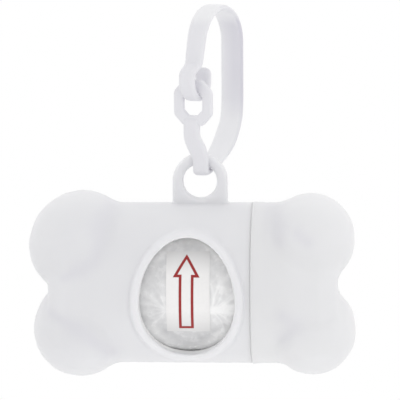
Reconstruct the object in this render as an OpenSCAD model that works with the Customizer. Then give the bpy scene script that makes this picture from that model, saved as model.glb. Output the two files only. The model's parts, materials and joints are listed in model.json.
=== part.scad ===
// Waste bag dispenser for a dog lead: a bone-shaped barrel with a pull-off end cap,
// a roll of bags inside and a one-piece strap clip. All sizes are in millimetres.
// The barrel lies along X, its window faces -Y, and the strap rises along +Z.

/* [Barrel] */
// Outer radius of the barrel
barrel_r = 20; // [18:0.5:24]
// Length from the left end face to the seam
body_l = 49.6; // [46:0.2:56]
// Distance from the left end face to the middle of the window
window_at = 34.5; // [32:0.1:36]
// Length of the cap from the seam to its end face
cap_l = 21.1; // [19:0.1:28]
// Rounding of the barrel's end edges
end_round = 5; // [2:0.5:8]
// Wall between the barrel's outside and the bore
wall = 2.8; // [2.2:0.1:3.6]
// Thickness of the two closed ends
end_wall = 2.4; // [1.6:0.1:4]
// Extra radius of the cap's rim beside the seam
rim_flare = 0.25; // [0:0.05:0.6]
// Length of the flared rim
rim_l = 3; // [1:0.5:6]

/* [Lobes] */
// Radius of the upper left lobe
lobe_lt_r = 14.2; // [12:0.1:16]
// Radius of the lower left lobe
lobe_lb_r = 11.8; // [10:0.1:14]
// Radius of the upper right lobe
lobe_rt_r = 11.7; // [10:0.1:14]
// Radius of the lower right lobe
lobe_rb_r = 11.65; // [10:0.1:14]
// How far the lobes reach past the end faces: upper left, lower left, upper right, lower right
lobe_past = [6, 5, 4.6, 4.8];
// How far the lobes rise above the barrel, in the same order
lobe_rise = [2.6, 2.8, 1.9, 1.7];
// Half depth of a lobe, front to back
lobe_depth = 19.2; // [17:0.1:20]
// Step from the bore to the narrower hollow inside the lobes
core_step = 0.6; // [0.3:0.1:2]

/* [Cap joint] */
// Length of the spigot that enters the cap
spigot_l = 8; // [5:0.5:12]
// Wall of the cap's skirt round the spigot
skirt_wall = 1.4; // [1:0.1:2]
// Radial clearance between spigot and skirt
cap_gap = 0.08; // [0.04:0.01:0.2]
// Lead-in bevel on the spigot's mouth
spigot_bevel = 0.5; // [0.2:0.1:1]
// Play left beyond the spigot inside the cap
spigot_play = 0.6; // [0.3:0.1:2]

/* [Window] */
// Half width of the egg-shaped window
window_w = 11.65; // [9:0.05:13]
// Height of the window above its widest line
window_up = 15.65; // [13:0.05:18]
// Depth of the window below its widest line
window_down = 13.55; // [9:0.05:14]
// Drop of the widest line below the barrel's axis
window_drop = 2.5; // [0:0.1:5]
// Width of the collar round the window
collar_w = 2.1; // [1.5:0.1:3]
// How far the collar stands out of the barrel, whose curve it follows
collar_proud = 1; // [0.4:0.1:2]
// Bevel on the collar's front edges
collar_bevel = 0.5; // [0.2:0.1:1]

/* [Lug] */
// Place of the lug along the barrel from its middle
lug_x = 2; // [-6:0.1:6]
// Height of the hole's centre above the barrel
lug_rise = 5.5; // [5.2:0.1:9]
// Radius of the hole
lug_hole_r = 4.2; // [3.8:0.1:5]
// Width of the ring of plastic round the hole
lug_rim = 2.65; // [2:0.05:4]
// Thickness of the lug
lug_t = 3.5; // [2.5:0.1:4.5]
// Bevel on the lug's edges
lug_bevel = 0.5; // [0.2:0.1:0.8]

/* [Strap] */
// Inner radius of the strap's top bend
loop_r = 9; // [8:0.1:12]
// Thickness of the strap
strap_t = 1.6; // [1.2:0.1:2.2]
// Width of the long leg
leg_w = 6.1; // [5:0.1:7]
// Width of the short arm
arm_w = 5; // [4:0.1:5.6]
// Width of the hook at the end of the arm
hook_w = 4.3; // [3.4:0.1:4.6]
// Width of the neck under the eye ring
neck_w = 4.5; // [3:0.1:5]
// Width of the saddle in the lug
saddle_w = 3.9; // [3:0.1:4.4]
// Turn of the strap's plane from the barrel's cross plane, in degrees
strap_yaw = 24.25; // [10:0.25:40]
// Sideways place of the strap's plane from the middle of the lug
loop_shift = -0.2; // [-1:0.05:1]
// Sideways lean of the top bend
top_lean = 0.2; // [0:0.05:1]
// Turn of the saddle in the lug, in degrees
saddle_yaw = 9; // [0:1:16]
// Sideways shift of the saddle from the middle of the lug's hole
saddle_shift = 0.8; // [0:0.1:0.9]
// Gap between the saddle and the round wall of the lug's hole
saddle_gap = 0.2; // [0.15:0.05:0.6]
// Gap between the lug's faces and the leg or the neck beside them
neck_gap = 0.4; // [0.35:0.05:0.8]
// Height of the long straight leg
leg_l = 14; // [10:0.5:30]
// Height of the lower bend from the saddle to the straight leg
bend_h = 16.6; // [12:0.1:24]
// Distance of the top bend's centre behind the lug
loop_back = 8.4; // [7:0.1:12]
// Lean of the arm where it leaves the top bend, in degrees
arm_lean = 8; // [0:1:16]
// Radius of the hook, to the middle of the strap
hook_r = 4.3; // [3.8:0.1:4.6]
// Height of the hook's upturned tip above the hook's centre
tip_l = 3; // [1:0.1:3.4]

/* [Eye] */
// Height of the neck from the saddle to the eye ring
neck_l = 11.6; // [9:0.1:15]
// Height of the eye ring
eye_h = 11.4; // [10:0.1:14]
// Width of the eye ring
eye_w = 10.4; // [9.6:0.1:13]
// Width of the ring's side bars
eye_bar = 2.75; // [2:0.05:2.8]
// Height of the ring's top bar
eye_top = 2.9; // [2:0.1:4]
// Thickness of the ring
eye_t = 1.5; // [1.3:0.1:2.4]
// Gap between the hook and the bar that hangs in it
hook_gap = 0.4; // [0.3:0.05:0.8]

/* [Bag roll] */
// Radial play of a full roll in the bore
roll_play = 1.2; // [0.9:0.1:4]
// Width of the roll
roll_l = 62; // [50:0.5:63]
// Outer radius of the cardboard core
core_r = 7; // [6:0.1:9]
// Wall of the cardboard core
core_wall = 1; // [0.5:0.1:2]
// How far the core stands out of the roll at each end
core_out = 0.5; // [0:0.1:1]
// Thickness of the outermost bag's folded turn
bag_t = 0.4; // [0.2:0.05:0.8]
// Gap between the roll and the bottom of the bore
roll_gap = 0.4; // [0.3:0.05:1]
// Width of the paper label
label_w = 10.4; // [8:0.1:14]
// Place of the label's middle along the barrel from the window's middle
label_x = -0.3; // [-3:0.1:3]
// Arc length of the paper label
label_l = 21; // [16:0.5:34]
// Thickness of the paper label
label_t = 0.15; // [0.1:0.01:0.3]
// Turn of the label's middle above the front line, in degrees
label_turn = 1.3; // [-20:0.1:30]

/* [Hidden] */

white = [0.9, 0.9, 0.91];
card = [0.66, 0.56, 0.43];
film = [0.8, 0.8, 0.8];
paper = [0.95, 0.93, 0.92];
over = 1;
// How far the lobes' hollows start inside the closed ends
core_reach = 3;

// Places along the barrel
left_x = -window_at;
seam_x = left_x + body_l;
right_x = seam_x + cap_l;
bore_r = barrel_r - wall;
spigot_r = barrel_r - skirt_wall - cap_gap;
skirt_r = barrel_r - skirt_wall;

// Lobe centres from their reach and rise
lobes_left = [
    [left_x - lobe_past[0] + lobe_lt_r, barrel_r + lobe_rise[0] - lobe_lt_r, lobe_lt_r],
    [left_x - lobe_past[1] + lobe_lb_r, -barrel_r - lobe_rise[1] + lobe_lb_r, lobe_lb_r]
];
lobes_right = [
    [right_x + lobe_past[2] - lobe_rt_r, barrel_r + lobe_rise[2] - lobe_rt_r, lobe_rt_r],
    [right_x + lobe_past[3] - lobe_rb_r, -barrel_r - lobe_rise[3] + lobe_rb_r, lobe_rb_r]
];

// Flat half thickness at the strap's side, and flat half width on its face, as shares
shoulder = 0.4;
flat = 0.66;

// Lug and saddle
hole_z = barrel_r + lug_rise;
lug_r = lug_hole_r + lug_rim;
saddle_reach = saddle_w / 2 + saddle_shift + lug_t / 2 * tan(saddle_yaw);
saddle_top = sqrt(pow(lug_hole_r - saddle_gap, 2) - pow(saddle_reach, 2)) + strap_t * (1 - shoulder) / 2;
saddle_z = hole_z + saddle_top - strap_t / 2;
saddle_y = lug_t / 2 + neck_gap + strap_t / 2;

// Strap loop, in its own plane: u runs backwards and z upwards
band_r = loop_r + strap_t / 2;
leg_bottom_z = saddle_z + bend_h;
loop_z = leg_bottom_z + leg_l;
leg_u = loop_back + band_r;
arm_end_u = loop_back - band_r * cos(arm_lean);
arm_end_z = loop_z + band_r * sin(arm_lean);

// Eye ring and hook: the ring's top bar hangs in the hook, whose middle lies behind the bar
hook_set = 1;
eye_u = -saddle_y;
eye_bottom_z = saddle_z + neck_l;
eye_z = eye_bottom_z + eye_h / 2;
bar_z = eye_bottom_z + eye_h - eye_top;
hook_u = eye_u + hook_set;
hook_drop = sqrt(pow(hook_r - strap_t / 2, 2) - pow(hook_u - eye_u + eye_t / 2, 2));
hook_z = bar_z - hook_gap + hook_drop;
arm_u = hook_u - hook_r;

// Bag roll
outer_r = bore_r - roll_play;
roll_r = outer_r - bag_t;
roll_z = -(roll_play - label_t - roll_gap);
roll_x = (left_x + right_x) / 2;

// Egg outline: two half ellipses that share their widest line
function egg(w, up, down, n = 72) = [for (i = [0:n - 1]) let (a = 360 * i / n)
    [w * cos(a), (a < 180 ? up : down) * sin(a)]];

// A point of the strap's plane at u back, v across and z up
function in_plane(u, v, z) = [
    lug_x + loop_shift + u * sin(strap_yaw) + v * cos(strap_yaw),
    u * cos(strap_yaw) - v * sin(strap_yaw),
    z
];

// Catmull-Rom curve through control rows of any length
function curve_row(p0, p1, p2, p3, t) = 0.5 * (2 * p1 + (p2 - p0) * t
    + (2 * p0 - 5 * p1 + 4 * p2 - p3) * t * t + (3 * p1 - p0 - 3 * p2 + p3) * t * t * t);
function curve(rows, steps) = let (last = len(rows) - 1) [
    for (i = [0:last - 1], s = [0:steps - 1])
        curve_row(rows[max(i - 1, 0)], rows[i], rows[i + 1], rows[min(i + 2, last)], s / steps),
    rows[last]
];

// Strap stations: x, y, z, half width, turn of the width direction
function plane_row(u, z, w) = concat(in_plane(u, 0, z), [w / 2, strap_yaw]);

// The tip's rounding: height left above each station, and the share of the hook's width there
tip_shape = [[0, 0.5], [0.35, 0.8], [0.9, 0.96], [1.6, 1]];
tip_rows = [for (t = tip_shape)
    plane_row(hook_u + hook_r, hook_z + tip_l - t[0], hook_w * t[1])];
hook_rows = [for (a = [0:15:180])
    plane_row(hook_u + hook_r * cos(a), hook_z - hook_r * sin(a), hook_w)];

// The arm steps forward over the eye ring: share of the step, and share of the height to the loop
arm_rise = arm_end_z - hook_z;
arm_step = [[0, 0.11], [0.05, 0.21], [0.36, 0.32], [0.7, 0.43], [0.86, 0.71]];
arm_rows = curve([for (k = arm_step)
    plane_row(arm_u + (arm_end_u - arm_u) * k[0], hook_z + arm_rise * k[1],
        hook_w + (arm_w - hook_w) * k[0])
], 4);
top_rows = [for (i = [0:18]) let (a = (180 - arm_lean) * (1 - i / 18))
    plane_row(loop_back + band_r * cos(a), loop_z + band_r * sin(a),
        arm_w + (leg_w - arm_w) * min(1, i / 12)) + [top_lean * sin(a), 0, 0, 0, 0]];
leg_rows = [plane_row(leg_u, leg_bottom_z + leg_l / 2, leg_w)];

// The lower bend runs in from the leg to the saddle: share of the way in, of the way down and of the turn
bend_shape = [[0, 0, 0], [0.065, 0.3, 0.1], [0.35, 0.63, 0.7], [0.75, 0.86, 0.95]];
bend_in = leg_u - saddle_y - 1.5;
bend_rows = curve(concat(
    [for (k = bend_shape) plane_row(leg_u - bend_in * k[0], leg_bottom_z - bend_h * k[1],
        leg_w + (saddle_w - leg_w) * pow(k[0], 3)) + [0, 0, 0, 0, (saddle_yaw - strap_yaw) * k[2]]],
    [saddle_row(saddle_y + 1.1, 1, 0, 0.15)]
), 5);

// The saddle crosses the lug's hole at its own turn, with squared corners before and behind it
function saddle_row(y, up, turn = 0, extra = 0) = [
    lug_x + saddle_shift + y * tan(saddle_yaw), y, saddle_z + up, saddle_w / 2 + extra, saddle_yaw + turn
];
corner = strap_t * 0.56;
saddle_rows = [
    saddle_row(saddle_y - 0.2, 0.1),
    saddle_row(0, 0),
    saddle_row(corner - saddle_y, 0),
    saddle_row(corner * 0.3 - saddle_y, corner * 0.3),
    saddle_row(-saddle_y, corner)
];
neck_set = 0.35;
neck_rows = curve([
    saddle_row(-saddle_y, neck_l * 0.26, 1),
    concat([lug_x - 0.35, -saddle_y, saddle_z + neck_l * 0.48, neck_w / 2], [(strap_yaw + saddle_yaw) / 2]),
    plane_row(eye_u, saddle_z + neck_l * 0.76, neck_w) - [neck_set, 0, 0, 0, 0],
    plane_row(eye_u, eye_bottom_z + eye_bar * 0.6, neck_w) - [neck_set, 0, 0, 0, 0]
], 4);
strap_rows = concat(tip_rows, hook_rows, arm_rows, top_rows, leg_rows, bend_rows,
    saddle_rows, neck_rows);

// Eight corners of the strap's bevelled section, as shares of half width and half thickness
section = [
    [1, shoulder], [flat, 1], [-flat, 1], [-1, shoulder],
    [-1, -shoulder], [-flat, -1], [flat, -1], [1, -shoulder]
];

module sweep_strap(rows, t) {
    n = len(rows);
    k = len(section);
    pts = [for (i = [0:n - 1]) let (
            here = [rows[i][0], rows[i][1], rows[i][2]],
            a = rows[max(i - 1, 0)],
            b = rows[min(i + 1, n - 1)],
            along = [b[0] - a[0], b[1] - a[1], b[2] - a[2]],
            level = [cos(rows[i][4]), -sin(rows[i][4]), 0],
            side = level - along * (level * along) / (along * along),
            across = side / norm(side),
            out = cross(across, along / norm(along)))
        for (c = section) here + across * c[0] * rows[i][3] + out * c[1] * t / 2];
    walls = [for (i = [0:n - 2], j = [0:k - 1]) let (
            p = i * k + j,
            q = i * k + (j + 1) % k)
        for (f = [[p, q, q + k], [p, q + k, p + k]]) f];
    first = [for (j = [1:k - 2]) [0, j + 1, j]];
    last = [for (j = [1:k - 2]) [(n - 1) * k, (n - 1) * k + j, (n - 1) * k + j + 1]];
    polyhedron(pts, concat(walls, first, last));
}

module along_x(x) translate([x, 0, 0]) rotate([0, 90, 0]) children();

// Solid of revolution from the seam outwards: flared rim, straight barrel, rounded end
module barrel_solid(length, flare = 0) {
    turns = 8;
    rotate_extrude($fn = 96) polygon(concat(
        [[0, 0], [barrel_r + flare, 0], [barrel_r, rim_l]],
        [for (i = [0:turns]) let (a = 90 * i / turns)
            [barrel_r - end_round * (1 - cos(a)), length - end_round * (1 - sin(a))]],
        [[0, length]]
    ));
}

// One lobe of the bone: two balls one behind the other, joined by a straight stretch
module lobe(place, shrink = 0) {
    r = place[2] - shrink;
    half = lobe_depth - place[2];
    translate([place[0], 0, place[1]]) rotate([90, 0, 0]) {
        for (end = [-1, 1]) translate([0, 0, end * half]) sphere(r = r, $fn = 72);
        cylinder(r = r, h = 2 * half, center = true, $fn = 72);
    }
}

// Hollow inside one lobe, a step narrower than the bore that its core pulls out through
module lobe_core(place) intersection() {
    lobe(place, wall);
    along_x(place[0] < 0 ? left_x - barrel_r : right_x - end_wall - core_reach)
        cylinder(r = bore_r - core_step, h = barrel_r + end_wall + core_reach, $fn = 96);
}

// Egg-shaped bar from the barrel's middle plane out through its front
module egg_bar(grow) {
    translate([0, 0, -window_drop]) rotate([90, 0, 0])
        linear_extrude(barrel_r + collar_proud + over)
            polygon(egg(window_w + grow, window_up + grow, window_down + grow));
}

// Raised collar round the window, concentric with the barrel, its outer edge stepped by the bevel
module collar() {
    for (step = [0, collar_bevel]) intersection() {
        egg_bar(collar_w - collar_bevel + step);
        along_x(left_x) cylinder(r = barrel_r + collar_proud - step, h = body_l, $fn = 96);
    }
}

module lug() {
    foot = hole_z - barrel_r + wall / 2;
    translate([lug_x, 0, hole_z]) rotate([90, 0, 0]) for (s = [[lug_bevel, 0], [0, lug_bevel]]) {
        inset = s[0];
        half = lug_t / 2 - s[1];
        translate([0, 0, -half]) cylinder(r = lug_r - inset, h = 2 * half, $fn = 72);
        translate([inset - lug_r, -foot, -half]) cube([2 * (lug_r - inset), foot, 2 * half]);
    }
}

module lug_hole() {
    translate([lug_x, 0, hole_z]) rotate([90, 0, 0]) {
        cylinder(r = lug_hole_r, h = lug_t + over, center = true, $fn = 72);
        for (m = [0, 1]) mirror([0, 0, m]) translate([0, 0, lug_t / 2 - lug_bevel])
            cylinder(r1 = lug_hole_r, r2 = lug_hole_r + lug_bevel + 0.1, h = lug_bevel + 0.1, $fn = 72);
    }
}

module body_shell() color(white) difference() {
    union() {
        mirror([1, 0, 0]) along_x(-seam_x) barrel_solid(body_l);
        for (p = lobes_left) lobe(p);
        along_x(seam_x - over) cylinder(r = spigot_r, h = spigot_l - spigot_bevel + over, $fn = 96);
        along_x(seam_x + spigot_l - spigot_bevel)
            cylinder(r1 = spigot_r, r2 = spigot_r - spigot_bevel / 2, h = spigot_bevel, $fn = 96);
        collar();
        lug();
    }
    along_x(left_x + end_wall) cylinder(r = bore_r, h = body_l + spigot_l, $fn = 96);
    for (p = lobes_left) lobe_core(p);
    egg_bar(0);
    lug_hole();
}

module end_cap() color(white) difference() {
    union() {
        along_x(seam_x) barrel_solid(cap_l, rim_flare);
        for (p = lobes_right) lobe(p);
    }
    along_x(seam_x) rotate_extrude($fn = 96) polygon([
        [0, -over], [skirt_r, -over], [skirt_r, spigot_l + spigot_play],
        [bore_r, spigot_l + spigot_play], [bore_r, cap_l - end_wall], [0, cap_l - end_wall]
    ]);
    for (p = lobes_right) lobe_core(p);
}

// Octagon-cornered eye ring in the plane of the strap
module eye_ring() {
    cut = eye_w * 0.26;
    translate([lug_x + loop_shift, 0, 0]) rotate([0, 0, -strap_yaw]) translate([0, eye_u + eye_t / 2, eye_z])
        rotate([90, 0, 0]) linear_extrude(eye_t) difference() {
            polygon(ring_outline(eye_w / 2, eye_h / 2, cut));
            translate([0, (eye_bar - eye_top) / 2])
                polygon(ring_outline(eye_w / 2 - eye_bar, (eye_h - eye_bar - eye_top) / 2, cut / 2));
        }
}

// Rectangle of the given half sizes with its corners cut at 45 degrees
function ring_outline(w, h, c) = [
    [w, h - c], [w - c, h], [c - w, h], [-w, h - c], [-w, c - h], [c - w, -h], [w - c, -h], [w, c - h]
];

module strap_clip() color(white) {
    sweep_strap(strap_rows, strap_t);
    eye_ring();
}

module tube_x(outer, inner, length) {
    translate([roll_x - length / 2, 0, roll_z]) rotate([0, 90, 0]) difference() {
        cylinder(r = outer, h = length, $fn = 96);
        translate([0, 0, -over]) cylinder(r = inner, h = length + 2 * over, $fn = 96);
    }
}

module roll_core() color(card) tube_x(core_r, core_r - core_wall, roll_l + 2 * core_out);

module bag_roll() color(film) tube_x(roll_r, core_r, roll_l);

module first_bag() color(film) tube_x(outer_r, roll_r, roll_l);

module roll_label() color(paper) {
    span = label_l / outer_r * 180 / PI;
    translate([label_x - label_w / 2, 0, roll_z]) rotate([0, 90, 0])
        rotate([0, 0, 180 + 90 - label_turn - span / 2])
            rotate_extrude(angle = span, $fn = 96) translate([outer_r, 0]) square([label_t, label_w]);
}

// The row's origin is the centre of the strap's top bend
seat = in_plane(loop_back, 0, loop_z);

module placed() translate(-seat) children();

placed() body_shell();
placed() end_cap();
placed() strap_clip();
placed() roll_core();
placed() bag_roll();
placed() first_bag();
placed() roll_label();
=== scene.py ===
import bmesh
import bpy
import json
import numpy as np
from mathutils import Matrix, Vector


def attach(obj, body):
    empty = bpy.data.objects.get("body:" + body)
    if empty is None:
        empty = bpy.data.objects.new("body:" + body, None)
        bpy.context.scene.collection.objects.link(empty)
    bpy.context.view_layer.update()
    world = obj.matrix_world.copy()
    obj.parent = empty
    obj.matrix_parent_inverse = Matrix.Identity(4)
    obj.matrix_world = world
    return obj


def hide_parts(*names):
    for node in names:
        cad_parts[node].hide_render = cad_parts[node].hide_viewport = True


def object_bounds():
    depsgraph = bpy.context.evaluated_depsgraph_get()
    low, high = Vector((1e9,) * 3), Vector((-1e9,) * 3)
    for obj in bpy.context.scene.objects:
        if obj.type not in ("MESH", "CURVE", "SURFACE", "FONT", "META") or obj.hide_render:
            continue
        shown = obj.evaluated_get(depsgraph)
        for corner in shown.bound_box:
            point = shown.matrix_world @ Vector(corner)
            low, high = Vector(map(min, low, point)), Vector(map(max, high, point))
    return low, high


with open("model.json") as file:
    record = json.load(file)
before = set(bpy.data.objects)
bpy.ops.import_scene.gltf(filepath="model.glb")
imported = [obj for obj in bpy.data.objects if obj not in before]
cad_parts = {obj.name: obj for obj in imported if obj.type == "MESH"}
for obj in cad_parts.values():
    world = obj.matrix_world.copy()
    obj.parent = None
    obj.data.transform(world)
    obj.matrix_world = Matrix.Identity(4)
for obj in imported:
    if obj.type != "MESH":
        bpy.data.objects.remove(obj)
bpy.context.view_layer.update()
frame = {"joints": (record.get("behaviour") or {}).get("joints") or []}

# Camera: a long lens some 60 cm away, a little above the barrel and to the right of its window.
# Shapes below are worked out in millimetres from the barrel's middle, a point on its axis LUG_X to the left
# of the lug's hole and HOLE_Z below it; to_frame turns them into the frame's metres.
swing = next(j for j in frame["joints"] if j["name"] == "lug_swing")
LUG_X = 2.0
HOLE_Z = 25.5
BARREL_MIDDLE = np.array(swing["pos_m"]) - np.array([LUG_X, 0, HOLE_Z]) / 1000


def to_frame(points):
    """Millimetres from the barrel's middle to metres in the frame."""
    return np.asarray(points, float) / 1000 + BARREL_MIDDLE


scene = bpy.context.scene
camera = bpy.data.objects.new("camera", bpy.data.cameras.new("camera"))
scene.collection.objects.link(camera)
scene.camera = camera
camera.data.lens = 216
camera.data.sensor_width = 36
camera.data.clip_start = 0.05
camera.data.clip_end = 20
STAND = (38.81, -592.14, 88.69)
LOOK_TURN, LOOK_DROP, LOOK_ROLL = np.radians([3.566, 6.54, -0.3])
back = np.array([np.sin(LOOK_TURN) * np.cos(LOOK_DROP), -np.cos(LOOK_TURN) * np.cos(LOOK_DROP),
                 np.sin(LOOK_DROP)])
level = np.array([np.cos(LOOK_TURN), np.sin(LOOK_TURN), 0])
upright = np.cross(back, level)
right = np.cos(LOOK_ROLL) * level + np.sin(LOOK_ROLL) * upright
up = -np.sin(LOOK_ROLL) * level + np.cos(LOOK_ROLL) * upright
pose = Matrix(np.column_stack([right, up, back]).tolist()).to_4x4()
pose.translation = Vector(to_frame(STAND))
camera.matrix_world = pose


# Barrel: one injection moulding of white plastic, with two lobes, the egg-shaped window and its
# collar, the lug for the strap, and a spigot that the end cap pushes onto.
# Its skin is worked out as a distance field, so that every join has the mould's small fillet.
BARREL_R = 20.0
LEFT_X, SEAM_X, RIGHT_X = -34.5, 15.1, 36.2
END_ROUND, END_WALL, WALL = 5.0, 2.4, 2.8
LOBE_DEPTH, LOBE_POWER, LOBE_WAVE = 19.2, 2.5, 0.05
LEFT_LOBES = ((-27.77, 10.02, 12.72), (-27.48, -10.9, 12.05))
SPIGOT_R, SPIGOT_L = 18.52, 8.0
WINDOW_X, WINDOW_W, WINDOW_UP, WINDOW_DOWN, WINDOW_DROP = -0.28, 11.65, 15.65, 13.7, 2.5
COLLAR_W, COLLAR_R = 2.1, 21.0
LUG_R, LUG_HOLE_R, LUG_HALF_T = 6.85, 4.2, 1.75
NOTCH_FILLET, ROOT_FILLET, FOOT_FILLET = 2.4, 1.6, 0.6
SEAM_EDGE, SPIGOT_EDGE, COLLAR_EDGE, WINDOW_EDGE = 0.2, 0.7, 1.0, 0.9
LUG_EDGE, HOLE_EDGE, BORE_EDGE, BORE_END_EDGE = 0.9, 1.1, 0.25, 1.0
HOLLOW_L, HOLLOW_SET, HOLLOW_EDGE = 3.0, 0.6, 0.6


def meet(a, b, fillet):
    """Union of two distances: the least of both, less h^2 fillet / 4 where h = 1 - |a - b| / fillet is
    over 0."""
    h = np.maximum(fillet - np.abs(a - b), 0) / fillet
    return np.minimum(a, b) - h * h * fillet / 4


def trim(a, b, edge):
    """Common part of two distances, its edge rounded in the same way as a fillet."""
    return -meet(-a, -b, edge)


def barrel_distance(p):
    """Distance to a cylinder along x with rounded rims: a rectangle of its half section, grown by the rim."""
    reach = np.abs(p[..., 0] - (LEFT_X + RIGHT_X) / 2) - ((RIGHT_X - LEFT_X) / 2 - END_ROUND)
    out = np.hypot(p[..., 1], p[..., 2]) - (BARREL_R - END_ROUND)
    beyond = np.hypot(np.maximum(reach, 0), np.maximum(out, 0))
    return beyond + np.minimum(np.maximum(reach, out), 0) - END_ROUND


def lobe_distance(p, lobe, shrink=0.0):
    """About the distance to a full oval, round seen along y and LOBE_DEPTH deep each way: (g - 1) / |slope|
    of g, the power mean of the shares of both reaches."""
    x, z, r = lobe
    across = np.hypot(p[..., 0] - x, p[..., 2] - z) / r
    deep = np.abs(p[..., 1]) / LOBE_DEPTH
    g = (across ** LOBE_POWER + deep ** LOBE_POWER) ** (1 / LOBE_POWER) + 1e-9
    slope = np.hypot((across / g) ** (LOBE_POWER - 1) / r, (deep / g) ** (LOBE_POWER - 1) / LOBE_DEPTH)
    return (g - 1) / np.maximum(slope, 1e-3) + shrink


def bone_distance(p, lobes):
    """Barrel with a pair of lobes, whose thick plastic has sunk a little: two slow waves of LOBE_WAVE."""
    pair = meet(lobe_distance(p, lobes[0]), lobe_distance(p, lobes[1]), NOTCH_FILLET)
    x, z = p[..., 0], p[..., 2]
    wave = np.sin(x * 0.62 + 1.3) * np.sin(z * 0.55 + 0.4) + np.sin(z * 0.9 - x * 0.35)
    return meet(barrel_distance(p), pair + LOBE_WAVE * wave, ROOT_FILLET)


def hollow_distance(p, lobes, outwards):
    """Bore with a closed end, and from HOLLOW_L before that end outwards the narrower hollows inside the
    lobes; outwards is -1 left and 1 right."""
    rho = np.hypot(p[..., 1], p[..., 2])
    end = RIGHT_X if outwards > 0 else -LEFT_X
    bore = trim(rho - (BARREL_R - WALL), outwards * p[..., 0] - (end - END_WALL), BORE_END_EDGE)
    for lobe in lobes:
        core = trim(lobe_distance(p, lobe, WALL), rho - (BARREL_R - WALL - HOLLOW_SET), HOLLOW_EDGE)
        bore = np.minimum(bore, np.maximum(core, end - END_WALL - HOLLOW_L - outwards * p[..., 0]))
    return bore


def egg_distance(p, grow):
    """About the distance to the window's egg, two half ellipses with grow added to their half axes:
    (g - 1) / |gradient of g|, where g is 1 on the egg."""
    x, z = p[..., 0] - WINDOW_X, p[..., 2] + WINDOW_DROP
    a = WINDOW_W + grow
    b = np.where(z > 0, WINDOW_UP, WINDOW_DOWN) + grow
    g = np.hypot(x / a, z / b) + 1e-9
    return (g - 1) * g / np.hypot(x / a ** 2, z / b ** 2).clip(1e-6)


def lug_distance(p, hole=False):
    """Arch of radius LUG_R over a straight foot, LUG_HALF_T thick each way with rounded edges, or its
    hole."""
    z = p[..., 2] - HOLE_Z
    if hole:
        return np.hypot(p[..., 0] - LUG_X, z) - LUG_HOLE_R
    side = np.hypot(p[..., 0] - LUG_X, np.maximum(z, 0)) - LUG_R
    slab = trim(side, np.abs(p[..., 1]) - LUG_HALF_T, LUG_EDGE)
    return np.maximum(slab, BARREL_R - WALL / 2 - p[..., 2])


def body_distance(p):
    """Bone left of the seam, spigot, collar and lug, less the bore, the window and the lug's hole."""
    x, y = p[..., 0], p[..., 1]
    rho = np.hypot(y, p[..., 2])
    skin = trim(bone_distance(p, LEFT_LOBES), x - SEAM_X, SEAM_EDGE)
    spigot = trim(rho - SPIGOT_R, x - (SEAM_X + SPIGOT_L), SPIGOT_EDGE)
    skin = np.minimum(skin, np.maximum(spigot, SEAM_X - 2 - x))
    collar = trim(egg_distance(p, COLLAR_W), rho - COLLAR_R, COLLAR_EDGE)
    skin = meet(skin, np.maximum(collar, y), FOOT_FILLET)
    skin = meet(skin, lug_distance(p), FOOT_FILLET)
    skin = trim(skin, -np.maximum(egg_distance(p, 0), y), WINDOW_EDGE)
    skin = trim(skin, -hollow_distance(p, LEFT_LOBES, -1), BORE_EDGE)
    return trim(skin, -lug_distance(p, hole=True), HOLE_EDGE)


def grid_lines(low, high, step, finer=()):
    """Places from low to high, step apart, and closer inside each (from, to, step) of finer."""
    at = np.linspace(low, high, 6001)
    gap = np.full(at.shape, step)
    for start, stop, small in finer:
        edge = np.clip(np.maximum(start - at, at - stop) / (2 * step), 0, 1)
        gap = np.minimum(gap, small + (step - small) * edge)
    count = np.concatenate([[0], np.cumsum(np.diff(at) / gap[:-1])])
    return np.interp(np.linspace(0, count[-1], int(count[-1]) + 1), count, at)


def gradient(distance, points):
    """Slope of a distance, from central differences 0.02 mm wide."""
    steps = np.eye(3) * 0.01
    return np.stack([distance(points + s) - distance(points - s) for s in steps], -1) / 0.02


def settle(distance, points, times):
    """Moves points onto distance = 0 along its slope, at most 0.4 mm a time."""
    for _ in range(times):
        slope = gradient(distance, points)
        move = -distance(points)[:, None] * slope / np.maximum((slope ** 2).sum(-1, keepdims=True), 1e-3)
        size = np.linalg.norm(move, axis=-1, keepdims=True)
        points = points + move * np.minimum(1, 0.4 / np.maximum(size, 1e-9))
    return points


def skin_of(distance, xs, ys, zs):
    """Closed quad skin of distance < 0: a point in each cell that the surface crosses, a quad round each
    grid edge that it crosses, then three rounds of evening out, each followed by settling on the surface."""
    corners = np.stack(np.meshgrid(xs, ys, zs, indexing="ij"), -1)
    inside = distance(corners) < 0
    cells = sum(inside[i:i - 1 or None, j:j - 1 or None, k:k - 1 or None].astype(np.int8)
                for i in (0, 1) for j in (0, 1) for k in (0, 1))
    crossed = (cells > 0) & (cells < 8)
    number = np.full(crossed.shape, -1)
    number[crossed] = np.arange(crossed.sum())
    middles = np.meshgrid(*[(s[1:] + s[:-1]) / 2 for s in (xs, ys, zs)], indexing="ij")
    points = np.stack([m[crossed] for m in middles], -1)
    quads = []
    for axis in range(3):
        order = (axis, (axis + 1) % 3, (axis + 2) % 3)
        solid = inside.transpose(order)[:, 1:-1, 1:-1]
        near = number.transpose(order)
        ring = np.stack([near[:, :-1, :-1], near[:, 1:, :-1], near[:, 1:, 1:], near[:, :-1, 1:]], -1)
        leaves = solid[:-1] & ~solid[1:]
        enters = ~solid[:-1] & solid[1:]
        quads += [ring[leaves], ring[enters][:, ::-1]]
    quads = np.concatenate(quads)
    points = settle(distance, points, 5)
    ends = np.concatenate([quads, np.roll(quads, -1, 1)]).ravel()
    starts = np.concatenate([np.roll(quads, -1, 1), quads]).ravel()
    count = np.bincount(starts, minlength=len(points))[:, None]
    for _ in range(3):
        mean = np.stack([np.bincount(starts, points[ends, i], len(points)) for i in range(3)], -1) / count
        points = settle(distance, points + 0.5 * (mean - points), 2)
    return points, quads


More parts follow.
